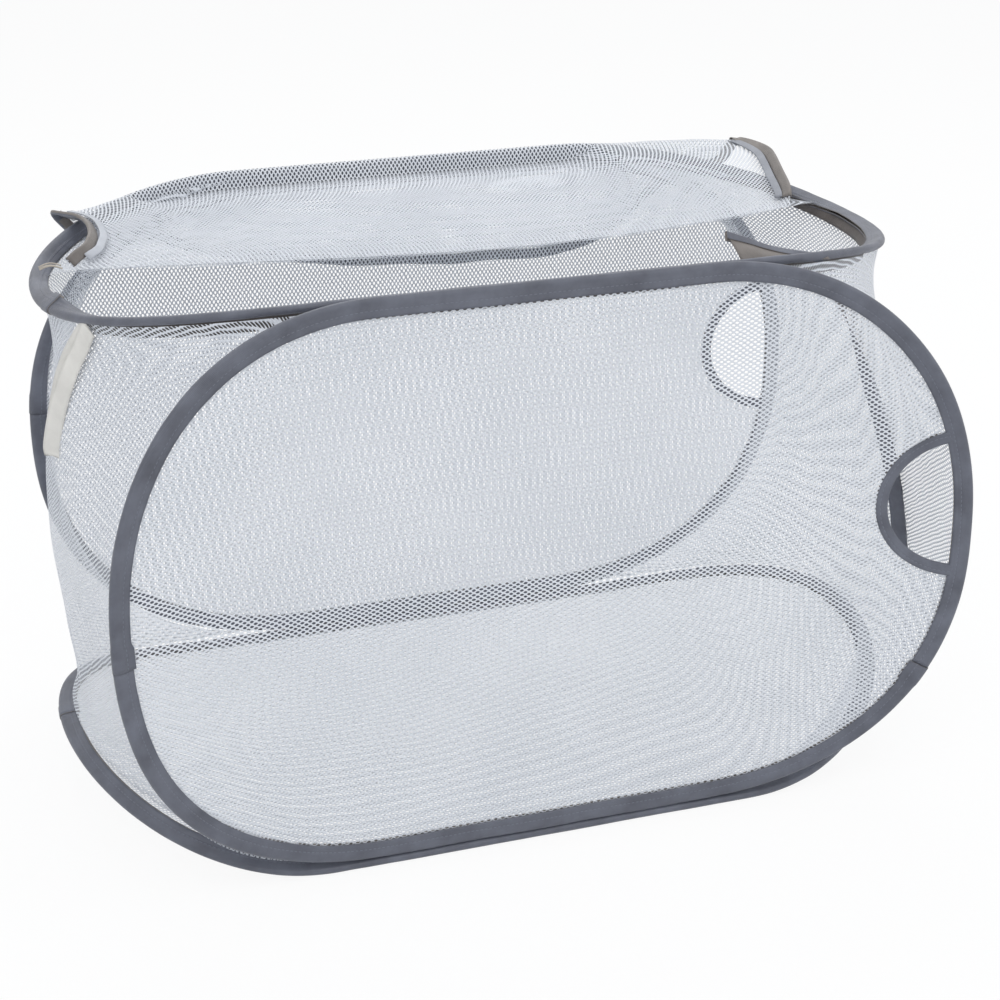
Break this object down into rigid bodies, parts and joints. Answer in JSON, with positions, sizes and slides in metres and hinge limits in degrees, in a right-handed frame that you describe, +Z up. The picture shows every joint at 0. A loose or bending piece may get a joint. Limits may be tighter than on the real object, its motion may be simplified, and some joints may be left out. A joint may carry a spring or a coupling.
{
  "type": "pop-up laundry hamper",
  "caption": "Rectangular pop-up laundry hamper of white mesh panels on sprung wire hoops in grey binding tape, with hand holes and an open mesh lid flap.",
  "frame": {"origin": "on the floor, at the middle of the underside of the bottom mesh panel", "axes": "+X along the length towards the end with the hand holes, +Y from the front panel to the back panel, +Z up"},
  "size_m": [0.6324, 0.4043, 0.3925],
  "materials": {
    "binding_tape": "satin woven polyester tape",
    "mesh_net": "open polyester net, see-through",
    "spring_steel": "bright drawn wire",
    "satin_ribbon": "satin ribbon"
  },
  "bodies": {
    "bottom": {"bottom_hoop_wire": "spring_steel", "bottom_hoop_ferrule": "spring_steel", "bottom_binding": "binding_tape", "bottom_mesh_panel": "mesh_net", "left_gusset": "mesh_net", "right_gusset": "mesh_net", "right_seam_tape": "binding_tape"},
    "front": {"front_hoop_wire": "spring_steel", "front_hoop_ferrule": "spring_steel", "front_binding_upper": "binding_tape", "front_binding_lower": "binding_tape", "front_mesh_panel": "mesh_net", "front_handle_binding": "binding_tape"},
    "back": {"back_hoop_wire": "spring_steel", "back_hoop_ferrule": "spring_steel", "back_binding": "binding_tape", "back_mesh_panel": "mesh_net", "back_handle_binding": "binding_tape"},
    "top": {"rim_hoop_wire": "spring_steel", "rim_hoop_ferrule": "spring_steel", "rim_binding": "binding_tape", "rear_top_mesh": "mesh_net", "tie_ribbon": "satin_ribbon"},
    "lid": {"lid_mesh": "mesh_net", "lid_left_hem": "binding_tape", "lid_right_hem": "binding_tape"},
    "lid_drape": {"lid_drape_mesh": "mesh_net", "lid_drape_hem": "binding_tape"}
  },
  "joints": [
    {"name": "front_fold", "type": "hinge", "parent": "bottom", "child": "front", "pos_m": [0, -0.17524, 0.01744], "axis": [-1, 0, 0], "range_deg": [0, 70], "stiffness_Nm_per_rad": 4, "deforming": ["left_gusset", "right_gusset", "right_seam_tape", "tie_ribbon"]},
    {"name": "back_fold", "type": "hinge", "parent": "bottom", "child": "back", "pos_m": [0, 0.17819, 0.00872], "axis": [-1, 0, 0], "range_deg": [0, 70]},
    {"name": "top_fold", "type": "hinge", "parent": "front", "child": "top", "pos_m": [0, -0.17524, 0.38941], "axis": [-1, 0, 0], "range_deg": [-70, 0]},
    {"name": "lid_hinge", "type": "hinge", "parent": "top", "child": "lid", "pos_m": [0, 0.032, 0.36552], "axis": [1, 0, 0], "range_deg": [0, 160]},
    {"name": "lid_drape_bend", "type": "hinge", "parent": "lid", "child": "lid_drape", "pos_m": [0, 0.18275, 0.39116], "axis": [1, 0, 0], "range_deg": [0, 99.7]}
  ],
  "couplings": [
    {"joint": "back_fold", "follows": "front_fold", "ratio": 1},
    {"joint": "top_fold", "follows": "front_fold", "ratio": -1},
    {"joint": "lid_drape_bend", "follows": "lid_hinge", "ratio": 0.6216}
  ]
}
